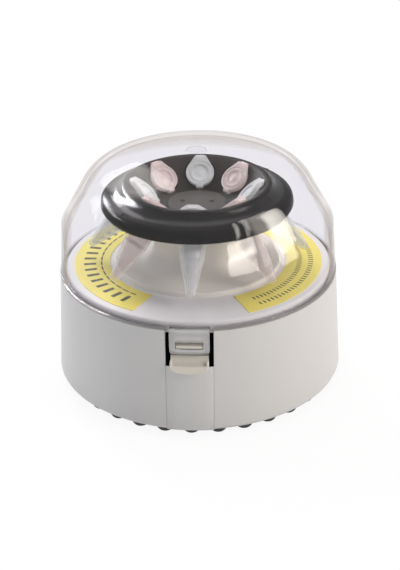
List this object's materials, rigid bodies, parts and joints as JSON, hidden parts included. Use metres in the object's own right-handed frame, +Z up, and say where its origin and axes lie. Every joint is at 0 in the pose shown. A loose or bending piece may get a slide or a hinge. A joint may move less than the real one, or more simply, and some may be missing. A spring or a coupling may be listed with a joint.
{
  "type": "microcentrifuge",
  "caption": "Round bench-top microcentrifuge with a clear domed hinged lid, front latch, fixed-angle rotor holding small capped tubes, and rubber feet.",
  "frame": {"origin": "on the rotor's spin axis at bench level, in the plane of the feet's flat bottoms", "axes": "+Z up along the spin axis, -Y towards the latch (front), +Y towards the lid hinge (rear), +X to the right seen from the front"},
  "size_m": [0.1298, 0.1385, 0.1065],
  "materials": {
    "housing": "moulded, satin",
    "deck": "moulded, satin",
    "cover": "moulded, satin",
    "label": "printed film",
    "clear": "clear polycarbonate, polished",
    "rotor_black": "fine textured",
    "tube_clear": "translucent polypropylene",
    "tube_pink": "translucent tinted polypropylene",
    "lever": "moulded, satin",
    "dark_plastic": "moulded",
    "rubber": "matte",
    "steel": "zinc plated",
    "motor_steel": "drawn",
    "bronze": "sintered",
    "magnet": "ferrite",
    "board": "solder mask",
    "parts": "mixed",
    "spring_steel": "bright"
  },
  "bodies": {
    "base": {"housing_shell": "housing", "front_strip": "housing", "deck": "deck", "deck_label_left": "label", "deck_label_right": "label", "motor_cover": "cover", "base_plate": "housing", "rubber_feet": "rubber", "base_screws": "steel", "circuit_board": "board", "board_parts": "parts", "board_screws": "steel", "dc_jack": "dark_plastic", "dc_jack_pin": "steel", "dc_jack_nut": "steel", "switch_body": "dark_plastic", "latch_well": "dark_plastic", "latch_pin": "steel", "latch_spring": "spring_steel", "interlock_sensor": "dark_plastic", "hinge_pin": "steel", "motor_cradle": "steel", "damper_grommets": "rubber", "damper_screws": "steel", "motor_screws": "steel", "motor_can": "motor_steel", "motor_end_cap": "dark_plastic", "motor_bushes": "bronze", "field_magnets": "magnet"},
    "lid": {"lid": "clear"},
    "latch_lever": {"latch_lever": "lever"},
    "rotor": {"rotor": "rotor_black", "rotor_hub": "steel", "hub_screw": "steel", "motor_shaft": "steel", "armature": "motor_steel", "commutator": "bronze", "tube_1": "tube_clear", "tube_2": "tube_pink", "tube_3": "tube_clear", "tube_4": "tube_pink", "tube_5": "tube_clear", "tube_6": "tube_pink", "tube_7": "tube_clear", "tube_8": "tube_pink"},
    "switch_rocker": {"switch_rocker": "dark_plastic"},
    "interlock_feeler": {"interlock_feeler": "spring_steel"}
  },
  "joints": [
    {"name": "lid_hinge", "type": "hinge", "parent": "base", "child": "lid", "pos_m": [0, 0.069, 0.047], "axis": [-1, 0, 0], "range_deg": [0, 95]},
    {"name": "latch_press", "type": "hinge", "parent": "base", "child": "latch_lever", "pos_m": [0, -0.0566, 0.026], "axis": [-1, 0, 0], "range_deg": [0, 8.5], "stiffness_Nm_per_rad": 0.8, "springref_deg": -5.73, "deforming": ["latch_spring"]},
    {"name": "rotor_spin", "type": "hinge", "parent": "base", "child": "rotor", "pos_m": [0, 0, 0.05], "axis": [0, 0, 1], "continuous": true},
    {"name": "power_rocker", "type": "hinge", "parent": "base", "child": "switch_rocker", "pos_m": [-0.0095, 0.0594, 0.022], "axis": [0, 0, -1], "range_deg": [0, 16]},
    {"name": "feeler_swing", "type": "hinge", "parent": "base", "child": "interlock_feeler", "pos_m": [0, -0.0533, 0.038], "axis": [1, 0, 0], "range_deg": [0, 8]}
  ],
  "couplings": [
    {"joint": "feeler_swing", "follows": "lid_hinge", "ratio": 0.08421}
  ]
}
